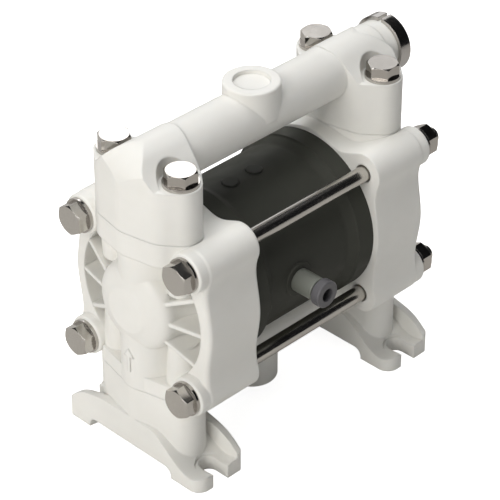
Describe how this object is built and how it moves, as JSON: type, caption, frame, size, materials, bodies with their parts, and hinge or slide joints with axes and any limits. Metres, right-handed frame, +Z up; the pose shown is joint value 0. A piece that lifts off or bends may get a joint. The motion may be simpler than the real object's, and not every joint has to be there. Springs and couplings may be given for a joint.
{
  "type": "air operated diaphragm pump",
  "caption": "Small air operated double diaphragm pump with plastic manifolds, ribbed covers and through bolts, on slotted feet.",
  "frame": {"origin": "on the floor midway between the four foot slots, under the middle of the diaphragm shaft", "axes": "+X along the diaphragm shaft towards the outlet and inlet ports, -Y towards the air inlet, +Z up"},
  "size_m": [0.1656, 0.0999, 0.1614],
  "materials": {
    "white_polypropylene": "satin",
    "black_body": "satin",
    "stainless": "satin",
    "elastomer": "matte",
    "ptfe_white": "satin",
    "brass": "satin",
    "bronze_sintered": "matte",
    "grey_fitting": "satin",
    "dark_collar": "satin",
    "hard_aluminium": "satin"
  },
  "bodies": {
    "pump_body": {"far_cover": "white_polypropylene", "near_cover": "white_polypropylene", "upper_manifold": "white_polypropylene", "lower_manifold": "white_polypropylene", "near_foot": "white_polypropylene", "far_foot": "white_polypropylene", "outlet_ring": "stainless", "inlet_ring": "stainless", "centre_block": "black_body", "body_caps": "black_body", "far_diaphragm": "elastomer", "near_diaphragm": "elastomer", "shaft_bushes": "ptfe_white", "shaft_seals": "elastomer", "inlet_seats": "white_polypropylene", "outlet_seats": "white_polypropylene", "seat_seals": "ptfe_white", "valve_sleeve": "stainless", "valve_plugs": "hard_aluminium", "pilot_seals": "elastomer", "air_fitting": "grey_fitting", "fitting_seal": "elastomer", "exhaust_muffler": "bronze_sintered", "tie_bolts": "stainless", "tie_nuts": "stainless", "tie_washers": "stainless", "upper_manifold_bolts": "stainless", "lower_manifold_bolts": "stainless", "manifold_washers": "stainless", "cover_inserts": "brass"},
    "shaft_set": {"far_inner_plate": "hard_aluminium", "near_inner_plate": "hard_aluminium", "far_outer_plate": "white_polypropylene", "near_outer_plate": "white_polypropylene", "diaphragm_shaft": "stainless"},
    "spool_body": {"valve_spool": "hard_aluminium"},
    "pilot_body": {"pilot_spool": "stainless"},
    "near_inlet_ball_body": {"near_inlet_ball": "ptfe_white"},
    "far_inlet_ball_body": {"far_inlet_ball": "ptfe_white"},
    "near_outlet_ball_body": {"near_outlet_ball": "ptfe_white"},
    "far_outlet_ball_body": {"far_outlet_ball": "ptfe_white"},
    "collar_body": {"release_collar": "dark_collar"}
  },
  "joints": [
    {"name": "shaft_stroke", "type": "slide", "parent": "pump_body", "child": "shaft_set", "axis": [1, 0, 0], "range_m": [-0.0055, 0.0055], "deforming": ["far_diaphragm", "near_diaphragm"]},
    {"name": "spool_slide", "type": "slide", "parent": "pump_body", "child": "spool_body", "axis": [1, 0, 0], "range_m": [-0.003, 0.003]},
    {"name": "pilot_slide", "type": "slide", "parent": "pump_body", "child": "pilot_body", "axis": [1, 0, 0], "range_m": [-0.0023, 0.0023]},
    {"name": "near_inlet_ball_lift", "type": "slide", "parent": "pump_body", "child": "near_inlet_ball_body", "axis": [0, 0, 1], "range_m": [0, 0.0045]},
    {"name": "far_inlet_ball_lift", "type": "slide", "parent": "pump_body", "child": "far_inlet_ball_body", "axis": [0, 0, 1], "range_m": [0, 0.0045]},
    {"name": "near_outlet_ball_lift", "type": "slide", "parent": "pump_body", "child": "near_outlet_ball_body", "axis": [0, 0, 1], "range_m": [0, 0.0045]},
    {"name": "far_outlet_ball_lift", "type": "slide", "parent": "pump_body", "child": "far_outlet_ball_body", "axis": [0, 0, 1], "range_m": [0, 0.0045]},
    {"name": "collar_press", "type": "slide", "parent": "pump_body", "child": "collar_body", "axis": [0, 1, 0], "range_m": [0, 0.001], "stiffness_N_per_m": 1500}
  ]
}
